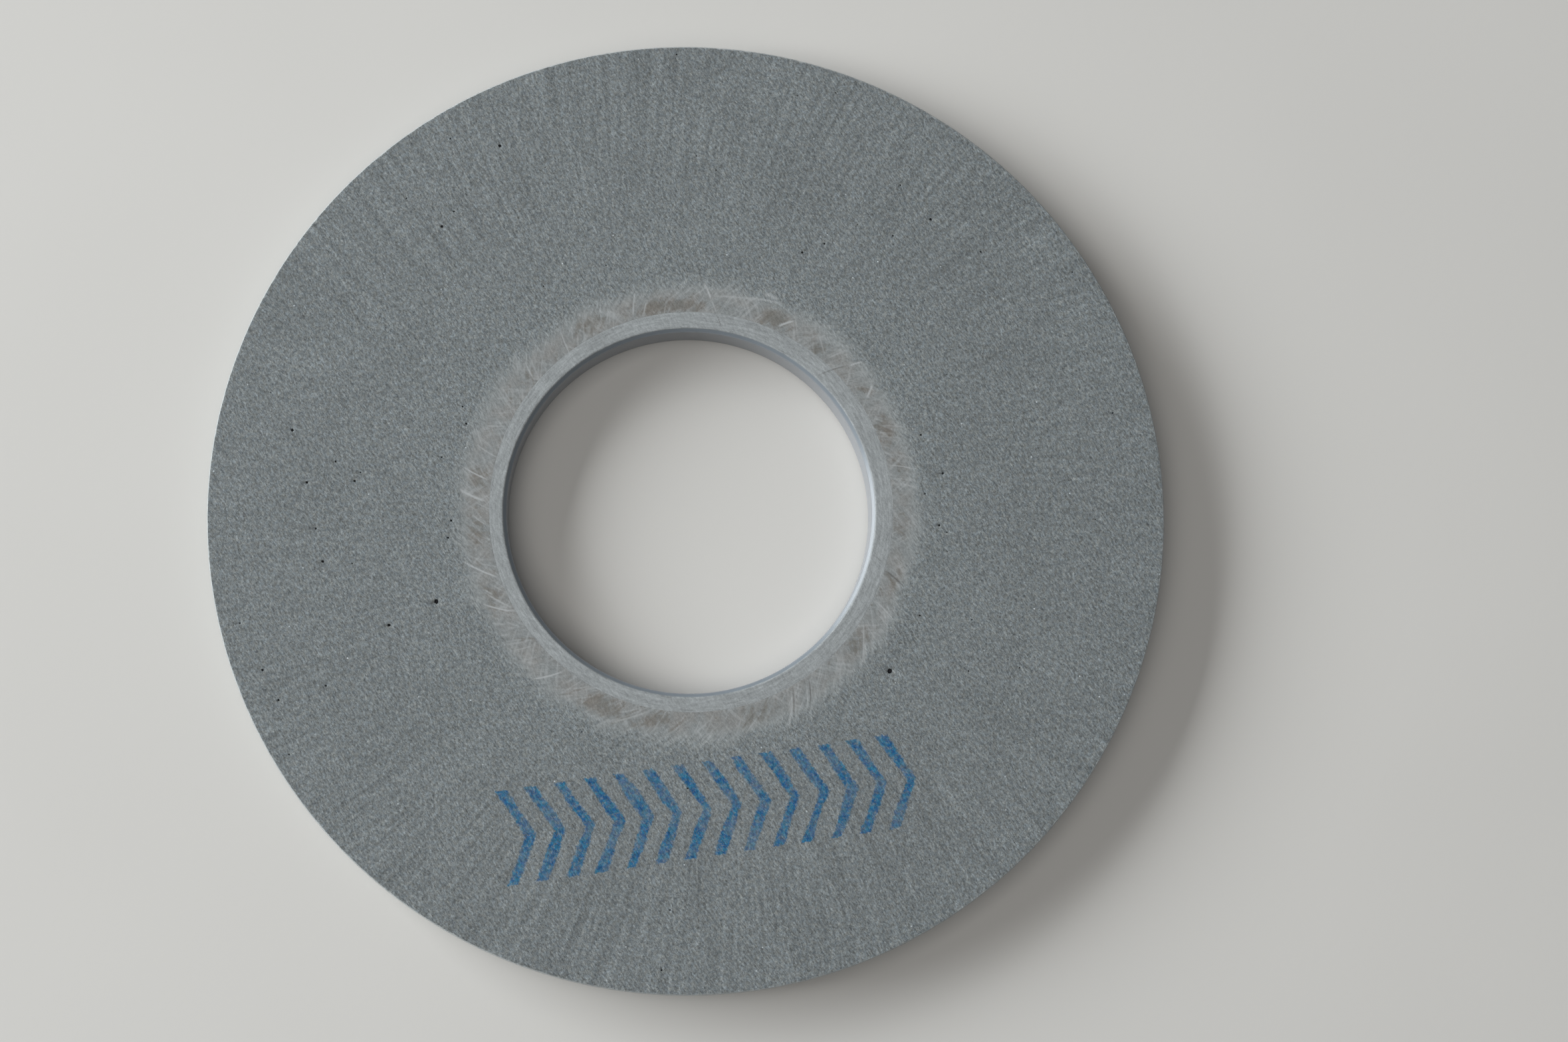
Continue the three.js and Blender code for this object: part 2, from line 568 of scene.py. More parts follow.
def edge_chips(count, seed):
    """How much is missing from a rim edge round the wheel: fine crumbling and some small chips."""
    rng = np.random.default_rng(seed)
    missing = 0.02 + 0.02 * rng.random(COLUMNS)
    for _ in range(count):
        middle = rng.uniform(0, 2 * math.pi)
        half_width = rng.uniform(0.25, 0.8) / WHEEL_RADIUS
        depth = rng.uniform(0.01, 0.05)
        gap = np.abs((angles - middle + math.pi) % (2 * math.pi) - math.pi)
        missing += depth * np.clip(1 - gap / half_width, 0, 1) ** 0.6 * rng.uniform(0.6, 1, COLUMNS)
    return missing


def face_rows(edge, height, outward, rng, steps):
    """Rows across one flat face, from the collar's edge to just inside the rim, with faint ripples.

    The first rows are close together, because scratches in the resin run out over them.
    """
    near = np.arange(SCRATCHED_ROWS) * SCRATCHED_ROW_GAP
    far = np.linspace(near[-1], WHEEL_RADIUS - 1.2 - COLLAR_RADIUS, steps + 1)[1:]
    rows = []
    ripple = np.zeros(COLUMNS)
    for past_edge in [*near, *far]:
        fade = 1 - past_edge / far[-1]
        radius = COLLAR_RADIUS + past_edge + (edge - COLLAR_RADIUS) * fade
        rows.append((radius, height + outward * softened(ripple)))
        ripple = 0.75 * ripple + rng.normal(0, FACE_RIPPLE, COLUMNS)
    return rows


def rim_edge_rows(height, outward, chips):
    """Rows over one rim edge, from the face to the rim, with its arris and its chips."""
    radius, arris = WHEEL_RADIUS, RIM_ARRIS
    rows = [
        (radius - 0.7, height - outward * chips * 0.05),
        (radius - 0.4, height - outward * chips * 0.35),
        (radius - arris - chips * 0.5, height - outward * chips * 0.8),
        (radius - arris / 2 - chips * 0.8, height - outward * (arris / 2 + chips * 0.8)),
        (radius - chips * 0.8, height - outward * (arris + chips * 0.5)),
        (radius - chips * 0.35, height - outward * (0.42 + chips * 0.1)),
    ]
    return [np.broadcast_arrays(r, h) for r, h in rows]


def lay_out_ring(mesh):
    """The ring's layout: the front face and the rim outermost, the seats inside it, the back innermost."""
    _, places, middles = face_corners(mesh)
    reach = np.hypot(places[:, 0], places[:, 1])
    middle_reach = np.hypot(middles[:, 0], middles[:, 1])
    drop = WIDTH - places[:, 2]
    over_rim = np.where(drop > RIM_START, WHEEL_RADIUS, reach) + drop
    along = np.where(reach < WHEEL_RADIUS - EDGE_BAND, reach, over_rim)
    front = LAYOUT_REACH - RING_SCALE * (WHEEL_RADIUS + WIDTH - along)
    back = BACK_SCALE * reach
    side = np.sign(places[:, 2] - WIDTH / 2)
    seats = SEAT_REACH + SEAT_SCALE * (places[:, 2] - WIDTH / 2 + side * (reach - CEMENT_OUTER))
    buried = (np.abs(middles[:, 2] - WIDTH / 2) < WIDTH / 2 - 0.2) & (middle_reach < COLLAR_RADIUS + 0.5)
    behind = (middles[:, 2] < WIDTH / 2) & (WHEEL_RADIUS - middle_reach > middles[:, 2] + 0.05)
    set_layout(mesh, places, np.where(buried, seats, np.where(behind, back, front)), behind)


def abrasive_ring(material):
    """The grit ring: two flat faces, a rim with a chipped edge, real pores, and seats for the collars."""
    rng = np.random.default_rng(11)
    hole = seam_radius(angles) + CEMENT_OUTER - BUSH_RADIUS
    front_edge = collar_edge(angles, 1)
    back_edge = collar_edge(angles, 2)
    rows = face_rows(front_edge, WIDTH, 1, rng, FRONT_OUTER_ROWS)
    rows += rim_edge_rows(WIDTH, 1, edge_chips(EDGE_CHIPS, 21))
    for height in np.linspace(WIDTH - 0.8, 0.8, RIM_ROWS):
        rows.append((WHEEL_RADIUS - np.abs(rng.normal(0, 0.008, COLUMNS)), np.full(COLUMNS, height)))
    rows += rim_edge_rows(0, -1, edge_chips(EDGE_CHIPS, 22))[::-1]
    rows += face_rows(back_edge, 0, -1, rng, BACK_OUTER_ROWS)[::-1]
    seat_low, seat_high = COLLAR_DEPTH, WIDTH - COLLAR_DEPTH
    seats = [(back_edge, seat_low), (hole, seat_low), (hole, seat_high), (front_edge, seat_high)]
    rows += [(radius, np.full(COLUMNS, height)) for radius, height in seats]
    grid = closed_rows(rows)
    marks = face_marks(grid)
    cells = grid_cells(grid)
    points = [Vector(p) for p in grid.reshape(-1, 3)]
    pit_faces = []
    pore_rng = random.Random(5)
    for centre, normal, size in pore_places(pore_rng):
        opening = cut_opening(grid, cells, centre, size)
        dig_pore(opening, points, pit_faces, centre, normal, size, pore_rng)
    faces = list(cells.values()) + pit_faces
    ring = add_piece("grit_ring", points, faces, material, marks, ["abrasive_ring"])
    lay_out_ring(ring.data)


def bush_outline():
    """Half of the bush's inner outline, from the middle of the bore up to the front seam, in mm."""
    mouth = BORE_RADIUS + MOUTH_ACROSS
    wall_top = (BORE_RADIUS, WIDTH - MOUTH_DEEP)
    lip = (mouth, WIDTH)
    points = [(BORE_RADIUS, WIDTH * share) for share in (0.5, 0.6, 0.75, 0.87)]
    points += rounded((BORE_RADIUS, 0), wall_top, lip, THROAT_RADIUS, 5)
    points += rounded(wall_top, lip, (BUSH_RADIUS, WIDTH), LIP_RADIUS, 6)
    return points


def bore_bush(material):
    """The bush, with rounded mouths, faint turning ridges on its faces and a small arris at the seam."""
    rng = np.random.default_rng(31)
    seam = seam_radius(angles)
    seam_depth = 0.006 + 0.004 * smooth_waves(angles, (1, 2, 5, 9), 3)
    first_ridge = BORE_RADIUS + MOUTH_ACROSS + FIRST_RIDGE
    upper = [(np.full(COLUMNS, r), np.full(COLUMNS, z)) for r, z in bush_outline()]
    for k in range(BUSH_RIDGES + 1):
        radius = first_ridge + (seam - SEAM_WIDTH - first_ridge) * k / BUSH_RIDGES
        upper.append((radius, WIDTH + rng.normal(0, 0.002) + rng.normal(0, 0.001, COLUMNS)))
    upper.append((seam - SEAM_GAP, WIDTH - seam_depth))
    lower = [(radius, WIDTH - height) for radius, height in upper[1:]]
    grid = closed_rows(upper[::-1] + lower)
    faces = list(grid_cells(grid).values())
    points = grid.reshape(-1, 3)
    bush = add_piece("bush", points, faces, material, face_marks(grid), ["bore_bush"])
    lay_out_inwards(bush, grid, BUSH_SCALE)


def resin_collar(name, node, front, seed, material):
    """A collar of resin, flush with its face, from the bush's seam out to its own uneven edge."""
    rng = np.random.default_rng(seed)
    theta = turns(COLLAR_COLUMNS if front else COLUMNS)
    seam = seam_radius(theta)
    edge = collar_edge(theta, 1 if front else 2)
    face, outward = (WIDTH, 1) if front else (0, -1)
    seam_depth = 0.005 + 0.003 * smooth_waves(theta, (2, 3, 8, 13), seed)
    rows = [(seam, face - outward * seam_depth)]
    inner = seam + SEAM_WIDTH
    for k in range(COLLAR_ROWS):
        ripple = softened(rng.normal(0, 0.003, len(theta)))
        rows.append((inner + (edge - inner) * k / COLLAR_ROWS, face + outward * ripple))
    rows.append((edge, np.full_like(theta, face)))
    under = np.full_like(theta, face - outward * COLLAR_DEPTH)
    grid = closed_rows(rows[::-1] + [(seam, under), (edge, under)])
    marks = face_marks(grid)
    depth = SCRATCH_DEPTH * np.abs(marks[SCRATCH_ATTRIBUTE]).reshape(grid.shape[:2])
    grid[:, :, 2] -= outward * depth
    faces = list(grid_cells(grid).values())
    collar = add_piece(name, grid.reshape(-1, 3), faces, material, marks, [node])
    lay_out_inwards(collar, grid, COLLAR_SCALE, mirrored=not front)


def cement_sleeve(material):
    """The hidden sleeve of cement that follows the bush's off-centre wall."""
    theta = turns(HIDDEN_COLUMNS)
    seam = seam_radius(theta)
    thickness = CEMENT_OUTER - CEMENT_INNER
    inner = seam + CEMENT_INNER - BUSH_RADIUS
    levels = np.linspace(SLEEVE_LOW, WIDTH - SLEEVE_LOW, SLEEVE_ROWS)
    rows = [(inner, np.full(HIDDEN_COLUMNS, z)) for z in levels[::-1]]
    rows += [(inner + thickness, np.full(HIDDEN_COLUMNS, z)) for z in levels]
    grid = closed_rows(rows)
    faces = list(grid_cells(grid).values())
    points = grid.reshape(-1, 3)
    add_piece("cement_sleeve", points, faces, material, replaces=["bush_cement"])


# ---------------------------------------------------------------- material helpers


def srgb(red, green, blue):
    """A colour as Blender wants it, from the 0 to 255 numbers of a colour picker."""
    channels = []
    for value in (red, green, blue):
        share = value / 255
        channels.append(share / 12.92 if share <= 0.04045 else ((share + 0.055) / 1.055) ** 2.4)
    return (*channels, 1.0)


class Graph:
    """A material's node tree, with one short call for each kind of node."""

    def __init__(self, name):
        self.material = bpy.data.materials.new(name)
        self.material.use_nodes = True
        self.tree = self.material.node_tree
        self.tree.nodes.clear()
        place = self.node("ShaderNodeTexCoord").outputs["Object"]
        self.place = self.scaled(place, 1 / MM)
        split = self.node("ShaderNodeSeparateXYZ")
        self.feed(split.inputs[0], self.place)
        self.x, self.y, self.z = split.outputs
        self.radius = self.maths("SQRT", self.plus(self.square(self.x), self.square(self.y)))
        self.angle = self.maths("ARCTAN2", self.y, self.x)

    def node(self, kind, **settings):
        made = self.tree.nodes.new(kind)
        for key, value in settings.items():
            setattr(made, key, value)
        return made

    def feed(self, socket, value):
        if isinstance(value, bpy.types.NodeSocket):
            self.tree.links.new(value, socket)
        else:
            socket.default_value = value

    def fed(self, kind, values, **settings):
        """The first output of a new node with these values on its inputs, in order."""
        made = self.node(kind, **settings)
        for socket, value in zip(made.inputs, values):
            self.feed(socket, value)
        return made.outputs[0]

    def maths(self, operation, a, b=0.0, c=0.0):
        return self.fed("ShaderNodeMath", (a, b, c), operation=operation)

    def plus(self, a, b):
        return self.maths("ADD", a, b)

    def minus(self, a, b):
        return self.maths("SUBTRACT", a, b)

    def square(self, value):
        return self.maths("MULTIPLY", value, value)

    def scaled(self, vector, factor):
        made = self.node("ShaderNodeVectorMath", operation="SCALE")
        self.feed(made.inputs[0], vector)
        self.feed(made.inputs["Scale"], factor)
        return made.outputs[0]

    def vector(self, x, y, z):
        return self.fed("ShaderNodeCombineXYZ", (x, y, z))

    def noise(self, place, scale, detail=2.0, roughness=0.5):
        made = self.node("ShaderNodeTexNoise")
        self.feed(made.inputs["Vector"], place)
        self.feed(made.inputs["Scale"], scale)
        self.feed(made.inputs["Detail"], detail)
        self.feed(made.inputs["Roughness"], roughness)
        return made.outputs["Fac"]

    def cells(self, place, scale):
        """Distance to the nearest of many random points, and a random number for each point."""
        made = self.node("ShaderNodeTexVoronoi")
        self.feed(made.inputs["Vector"], place)
        self.feed(made.inputs["Scale"], scale)
        split = self.node("ShaderNodeSeparateColor")
        self.feed(split.inputs[0], made.outputs["Color"])
        return made.outputs["Distance"], split.outputs[0]

    def ramp(self, value, low, high, start=0.0, end=1.0):
        """Rises smoothly from start to end while value goes from low to high."""
        values = (value, low, high, start, end)
        return self.fed("ShaderNodeMapRange", values, interpolation_type="SMOOTHSTEP")

    def attribute(self, name):
        return self.node("ShaderNodeAttribute", attribute_name=name).outputs["Fac"]

    def flat(self, colour):
        made = self.node("ShaderNodeRGB")
        made.outputs[0].default_value = colour
        return made.outputs[0]

    def product(self, *values):
        total = values[0]
        for value in values[1:]:
            total = self.maths("MULTIPLY", total, value)
        return total

    def mix(self, share, first, second, blend_type="MIX"):
        made = self.node("ShaderNodeMix", data_type="RGBA", blend_type=blend_type)
        for place, value in ((0, share), (6, first), (7, second)):
            self.feed(made.inputs[place], value)
        return made.outputs[2]

    def product_colour(self, first, second):
        return self.mix(1.0, first, second, "MULTIPLY")

    def blend(self, share, first, second):
        """The same mix for plain numbers."""
        made = self.node("ShaderNodeMix", data_type="FLOAT")
        for place, value in ((0, share), (2, first), (3, second)):
            self.feed(made.inputs[place], value)
        return made.outputs[0]

    def shade(self, colour, value, middle=0.5, strength=1.0):
        """Lightens colour where value is above middle and darkens it below."""
        change = self.maths("MULTIPLY_ADD", self.minus(value, middle), strength, 1.0)
        return self.scaled(colour, change)

    def bump(self, height, depth_mm):
        made = self.node("ShaderNodeBump")
        made.inputs["Strength"].default_value = 1.0
        made.inputs["Distance"].default_value = depth_mm * MM
        self.feed(made.inputs["Height"], height)
        return made.outputs[0]

    def surface(self, colour, roughness, normal, specular=0.5):
        shader = self.node("ShaderNodeBsdfPrincipled")
        self.feed(shader.inputs["Base Color"], colour)
        self.feed(shader.inputs["Roughness"], roughness)
        self.feed(shader.inputs["Specular IOR Level"], specular)
        self.feed(shader.inputs["Normal"], normal)
        output = self.node("ShaderNodeOutputMaterial")
        self.feed(output.inputs["Surface"], shader.outputs[0])
        return self.material


# ---------------------------------------------------------------- patterns


def along_and_across(g, x, y, direction):
    """How far a place in the face lies along a direction, in degrees, and how far across it."""
    cosine, sine = math.cos(math.radians(direction)), math.sin(math.radians(direction))
    along = g.plus(g.product(x, cosine), g.product(y, sine))
    across = g.minus(g.product(y, cosine), g.product(x, sine))
    return along, across


def streaked_place(g, direction, stretch):
    """The place, squeezed along one direction in the face, so that noise there grows into streaks."""
    along, across = along_and_across(g, g.x, g.y, direction)
    return g.vector(g.product(along, 1 / stretch), across, g.z)


def drum_place(g, turn, reach, height):
    """A place on a drum round the wheel's axis, where noise has no seam."""
    cosine, sine = g.maths("COSINE", turn), g.maths("SINE", turn)
    return g.vector(g.product(cosine, reach), g.product(sine, reach), height)


def leaning_streaks(g, at_radius, slant, pitch, length, seed):
    """Soft streaks that lean off the radius by slant (a tangent), with no seam round the wheel."""
    lean = g.product(g.minus(g.radius, at_radius), slant / at_radius)
    turn = g.plus(g.angle, lean)
    height = g.plus(g.product(g.radius, 1 / length), g.maths("MULTIPLY_ADD", g.z, 0.7, seed))
    return g.noise(drum_place(g, turn, at_radius / pitch, height), 1.0, 1.0)


# ---------------------------------------------------------------- grit and resin

GRIT_GREY = srgb(114, 120, 122)
CRYSTAL_AND_GLINT = srgb(205, 214, 219)
PORE_SHADE_AND_SPECK = srgb(54, 56, 60)
CHIP_GREY = srgb(184, 188, 188)
RESIN_BROWN = srgb(111, 110, 106)
RESIN_GREY = srgb(128, 131, 131)
RESIN_HAZE = srgb(138, 143, 144)
SCRAPED_PALE = srgb(170, 174, 176)
SCRAPED_DARK = srgb(78, 76, 73)
WARM = (1.05, 1.0, 0.945, 1)
COOL = (0.96, 1.0, 1.05, 1)
PINKISH = (1.035, 0.995, 0.975, 1)
BLUISH = (0.98, 1.01, 1.03, 1)
INK_BLUE = srgb(16, 78, 126)
INK_TEAL = srgb(40, 106, 136)

# Families of scraper strokes: the tangent of their lean, and their pitch, length and seed
STROKES = [(0.5, 0.6, 7.0, 5.0), (1.3, 0.8, 8.0, 17.0), (-0.7, 0.9, 6.0, 29.0)]

GRAIN_DIRECTION = -56
DRESSING_RADIUS = 90


def dressed(g, colour, cloud):
    """The colour with the dresser's marks: patchy sweeps, furrows that fan out, and sparse dark lines."""
    sweeps = leaning_streaks(g, DRESSING_RADIUS, 0.1, 0.8, 18, 3.0)
    swept = g.product(g.ramp(g.radius, 58, 88), g.ramp(cloud, 0.4, 0.6))
    sweeps = g.product(g.minus(sweeps, 0.5), swept)
    furrows = leaning_streaks(g, DRESSING_RADIUS, 0.14, 0.9, 22, 7.0)
    off_sides = g.ramp(g.maths("ABSOLUTE", g.y), 15, 65, 0.3, 1.0)
    furrowed = g.product(g.ramp(g.radius, 52, 76), off_sides)
    furrows = g.product(g.minus(furrows, 0.5), furrowed)
    lines = leaning_streaks(g, DRESSING_RADIUS, 0.05, 0.9, 50, 11.0)
    lines = g.product(g.ramp(lines, 0.64, 0.8), furrowed)
    colour = g.shade(colour, sweeps, middle=0.0, strength=0.4)
    colour = g.shade(colour, furrows, middle=0.0, strength=0.56)
    return g.shade(colour, lines, middle=0.0, strength=-0.14)


def grit_colour(g):
    """Fine grey grit: grains in many sizes, warm and cool, dresser's marks, pale crystals with painted
    glints, and dark specks.
    """
    fine = g.noise(streaked_place(g, GRAIN_DIRECTION, 2.4), 2.2, 1.0, 0.9)
    grain = g.cells(streaked_place(g, GRAIN_DIRECTION, 1.6), 3.0)[1]
    dust = g.cells(g.place, 5.2)[1]
    gap_shade = g.ramp(g.noise(streaked_place(g, GRAIN_DIRECTION, 1.4), 2.7, 1.0, 0.7), 0.28, 0.46)
    coarse = g.noise(streaked_place(g, GRAIN_DIRECTION, 1.3), 0.5, 1.0, 0.8)
    cloud = g.noise(g.place, 0.08, 2.0, 0.6)
    tint = g.ramp(g.noise(g.scaled(g.place, -1), 1.1, 2.0, 0.8), 0.25, 0.75)
    colour = g.product_colour(g.flat(GRIT_GREY), g.mix(tint, WARM, COOL))
    colour = g.shade(colour, fine, strength=1.35)
    colour = g.shade(colour, grain, strength=0.36)
    colour = g.shade(colour, dust, strength=0.42)
    # Painted shade: darker in the hollows between the grains
    colour = g.shade(colour, gap_shade, middle=0.86, strength=0.36)
    colour = g.shade(colour, coarse, strength=0.24)
    colour = g.shade(colour, cloud, strength=0.19)
    colour = g.shade(colour, g.ramp(g.radius, COLLAR_RADIUS, 75, 0.05, 0.0), middle=0.0)
    colour = dressed(g, colour, cloud)
    # Pale crystal spots: partly whitish crystal, partly painted glints. The same mask makes them glossier
    # in wheel_face
    distance, chance = g.cells(g.place, 0.75)
    crystal_and_glint = g.product(g.ramp(distance, 0.06, 0.15, 1.0, 0.0), g.ramp(chance, 0.95, 1.0))
    colour = g.mix(crystal_and_glint, colour, CRYSTAL_AND_GLINT)
    # Dark specks, in the same dark colour that paints the shade in the pores
    distance, chance = g.cells(g.place, 0.32)
    speck = g.product(g.ramp(distance, 0.03, 0.09, 1.0, 0.0), g.ramp(chance, 0.5, 1.0))
    colour = g.mix(g.product(speck, 0.6), colour, PORE_SHADE_AND_SPECK)
    return colour, fine, coarse, crystal_and_glint


def hollow_masks(g):
    """Two masks of places below the faces and the rim: inside a pore, for painted shade that darkens with
    depth, and in a chip of a rim edge.
    """
    below_face = g.maths("MINIMUM", g.minus(WIDTH, g.z), g.z)
    below_rim = g.minus(WHEEL_RADIUS, g.radius)
    depth = g.maths("MINIMUM", below_face, below_rim)
    off_edge = g.ramp(g.maths("MAXIMUM", below_face, below_rim), 0.5, 0.9)
    on_edge = g.minus(1.0, off_edge)
    off_seats = g.ramp(g.radius, COLLAR_RADIUS + 0.6, COLLAR_RADIUS + 0.9)
    # Painted shade in the pits: their colour darkens with depth below the surface, away from the rim edges
    # and the seats
    pore = g.product(g.ramp(depth, 0.04, 0.16), off_edge, off_seats)
    return pore, g.product(g.ramp(depth, 0.012, 0.05), on_edge)


def resin_mask(g):
    """Two masks: the resin, whose end is ragged with scraper strokes, and a patchy haze out past it."""
    unit = drum_place(g, g.angle, 1.0, g.product(g.z, 0.31))
    wave = g.minus(g.noise(unit, 3.0, 3.0, 0.6), 0.5)
    strokes = g.minus(leaning_streaks(g, COLLAR_RADIUS, 0.9, 1.3, 14.0, 51.0), 0.5)
    edge = g.maths("MULTIPLY_ADD", wave, 2.6, COLLAR_RADIUS - 0.45)
    edge = g.maths("MULTIPLY_ADD", strokes, 3.4, edge)
    past = g.minus(g.radius, edge)
    patches = g.ramp(g.noise(unit, 5.0, 2.0, 0.6), 0.35, 0.65, 0.4, 1.1)
    streaks = g.ramp(leaning_streaks(g, COLLAR_RADIUS, 1.2, 0.5, 9.0, 57.0), 0.36, 0.64, 0.5, 1.3)
    haze = g.product(g.ramp(past, 0.0, 3.4, 1.0, 0.0), patches, streaks)
    return g.ramp(past, -1.6, 1.2, 1.0, 0.0), haze


def resin_colour(g, fine):
    """Grey resin with smooth brown stains, under patches of pale scraper strokes."""
    middle = (BUSH_RADIUS + COLLAR_RADIUS) / 2
    wedges = leaning_streaks(g, middle, 0.9, 1.6, 14.0, 41.0)
    mottle = g.noise(g.place, 0.7, 3.0, 0.6)
    uneven = g.minus(g.plus(wedges, mottle), 1.0)
    stain = g.maths("MULTIPLY_ADD", uneven, 1.6, g.attribute(STAIN_ATTRIBUTE))
    brown = g.ramp(stain, 0.16, 0.78)
    tint = g.ramp(g.noise(g.scaled(g.place, -1), 0.22, 2.0, 0.6), 0.3, 0.7)
    colour = g.product_colour(g.mix(brown, RESIN_GREY, RESIN_BROWN), g.mix(tint, PINKISH, BLUISH))
    outwards = g.ramp(g.radius, COLLAR_RADIUS - 3.0, COLLAR_RADIUS + 0.5, 0.0, 0.8)
    colour = g.mix(outwards, colour, RESIN_HAZE)
    colour = g.shade(colour, g.noise(g.place, 1.5, 2.0, 0.9), strength=0.8)
    colour = g.shade(colour, fine, strength=0.6)
    worked = g.ramp(g.noise(g.place, 0.2, 2.0, 0.6), 0.36, 0.6, 0.3, 1.0)
    bare = g.blend(brown, 1.0, 0.45)
    for slant, pitch, length, seed in STROKES:
        pale = g.ramp(leaning_streaks(g, middle, slant, pitch, length, seed), 0.5, 0.72)
        colour = g.mix(g.product(pale, worked, bare, 0.32), colour, SCRAPED_PALE)
    return colour, brown


def scratched(g, colour, pale_share, dark_share):
    """The colour with the piece's own scratches on it."""
    marks = g.attribute(SCRATCH_ATTRIBUTE)
    colour = g.mix(g.product(g.ramp(marks, 0.0, 1.0), pale_share), colour, SCRAPED_PALE)
    return g.mix(g.product(g.ramp(marks, 0.0, -1.0), dark_share), colour, SCRAPED_DARK)


# The stamp: a row of chevrons that point the way the wheel turns
MARK_START = (-36.4, -77.4)
MARK_TILT = 8.0
MARK_HEIGHT = 19.6
CHEVRONS = 14
CHEVRON_PITCH = 6.1
CHEVRON_REACH = 5.0
STROKE = 2.05


def ink_mask(g):
    """Worn stamp ink: chevron strokes with soaked, ragged edges, thinner in places."""
    from_x = g.minus(g.x, MARK_START[0])
    from_y = g.minus(g.y, MARK_START[1])
    along, up = along_and_across(g, from_x, from_y, MARK_TILT)
    from_middle = g.maths("ABSOLUTE", g.minus(up, MARK_HEIGHT / 2))
    slope = CHEVRON_REACH / (MARK_HEIGHT / 2)
    shifted = g.plus(along, g.product(from_middle, slope))
    from_start = g.minus(shifted, CHEVRON_REACH)
    distance = g.product(g.maths("PINGPONG", from_start, CHEVRON_PITCH / 2), 1 / math.hypot(1, slope))
    soak = g.product(g.minus(g.noise(g.place, 1.3, 3.0, 0.8), 0.5), 1.5)
    pressure = g.product(g.minus(g.noise(g.place, 0.14, 1.0), 0.5), 1.4)
    edge = g.plus(distance, g.minus(soak, pressure))
    stroke = g.ramp(edge, STROKE / 2 - 0.25, STROKE / 2 + 0.2, 1.0, 0.0)
    last = (CHEVRONS - 0.5) * CHEVRON_PITCH + CHEVRON_REACH
    first = CHEVRON_REACH - CHEVRON_PITCH / 2
    in_row = g.product(g.ramp(shifted, first, first + 0.2), g.ramp(shifted, last - 0.2, last, 1.0, 0.0))
    tall = g.ramp(g.plus(from_middle, soak), MARK_HEIGHT / 2 - 0.2, MARK_HEIGHT / 2, 1.0, 0.0)
    on_front = g.ramp(g.z, WIDTH - 1.0, WIDTH - 0.5)
    worn = g.ramp(g.noise(g.place, 1.2, 3.0, 0.8), 0.34, 0.54, 0.4, 1.0)
    thin = g.ramp(g.noise(g.place, 0.2, 2.0, 0.6), 0.38, 0.6, 0.65, 1.0)
    shape = g.product(stroke, in_row, tall, on_front)
    return g.product(shape, worn, thin)


def ink_colour(g, fine):
    """Stamp ink that dried deep blue in some spots and more teal in others."""
    tone = g.ramp(g.noise(g.scaled(g.place, -1), 0.9, 2.0, 0.7), 0.36, 0.64)
    return g.shade(g.mix(tone, INK_BLUE, INK_TEAL), fine, strength=1.6)


def wheel_face(name, with_ink):
    """Grit with resin soaked in near the bush, so that the ring and its collars meet without a line."""
    g = Graph(name)
    grit, fine, coarse, crystal_and_glint = grit_colour(g)
    resin, brown = resin_colour(g, fine)
    covered, haze = resin_mask(g)
    grit = g.mix(g.product(haze, 0.75), grit, g.shade(g.flat(RESIN_HAZE), fine, strength=1.4))
    if with_ink:
        grit = g.mix(ink_mask(g), grit, ink_colour(g, fine))
    pore, chip = hollow_masks(g)
    # Painted shade: the pores get a dark colour on top of the shadow that their pits cast
    grit = g.mix(pore, grit, PORE_SHADE_AND_SPECK)
    grit = g.mix(g.product(chip, 0.65), grit, CHIP_GREY)
    colour = scratched(g, g.mix(covered, grit, resin), 0.95, 0.9)
    roughness = g.blend(covered, 0.86, g.blend(brown, 0.66, 0.5))
    roughness = g.minus(roughness, g.product(crystal_and_glint, 0.5))
    height = g.plus(fine, g.product(coarse, 1.2))
    normal = g.bump(g.blend(covered, height, g.product(height, 0.35)), 0.08)
    return g.surface(colour, roughness, normal, specular=0.35)


# ---------------------------------------------------------------- bush, cement, floor

CEMENT_DARK = srgb(86, 80, 70)
CEMENT_PALE = srgb(128, 122, 110)
FLOOR_DARK = srgb(203, 202, 199)
FLOOR_PALE = srgb(209, 208, 205)
BUSH_GREY = srgb(143, 148, 150)
BORE_GREY = srgb(136, 140, 145)
MOUTH_GREY = srgb(121, 129, 136)


def bush_material():
    """Cast filler: a matt face with turning lines, oblique hatching and grain, and a smoother bore."""
    g = Graph("bush_filler")
    across = drum_place(g, g.angle, 12.0, g.product(g.plus(g.radius, g.z), 2.2))
    turning = g.noise(across, 1.0, 3.0, 0.75)
    hatching = g.noise(streaked_place(g, GRAIN_DIRECTION, 2.8), 1.9, 2.0, 0.8)
    cloud = g.noise(g.place, 0.12, 2.0, 0.5)
    from_middle = g.maths("ABSOLUTE", g.minus(g.z, WIDTH / 2))
    on_face = g.ramp(from_middle, WIDTH / 2 - 0.18, WIDTH / 2 - 0.06)
    turned = g.shade(g.flat(BUSH_GREY), turning, strength=1.1)
    turned = g.shade(turned, hatching, strength=0.8)
    turned = g.shade(turned, g.noise(g.place, 3.4, 1.0, 0.8), strength=0.45)
    turned = g.shade(turned, cloud, strength=0.3)
    in_mouth = g.ramp(g.radius, BORE_RADIUS + 0.05, BORE_RADIUS + 0.3)
    smooth = g.shade(g.mix(in_mouth, BORE_GREY, MOUTH_GREY), turning, strength=0.3)
    colour = scratched(g, g.mix(on_face, smooth, turned), 0.5, 1.0)
    height = g.plus(turning, hatching)
    normal = g.bump(g.product(height, g.blend(on_face, 0.12, 1.0)), 0.03)
    roughness = g.blend(on_face, 0.3, g.ramp(turning, 0.3, 0.7, 0.5, 0.66))
    return g.surface(colour, roughness, normal, specular=0.45)


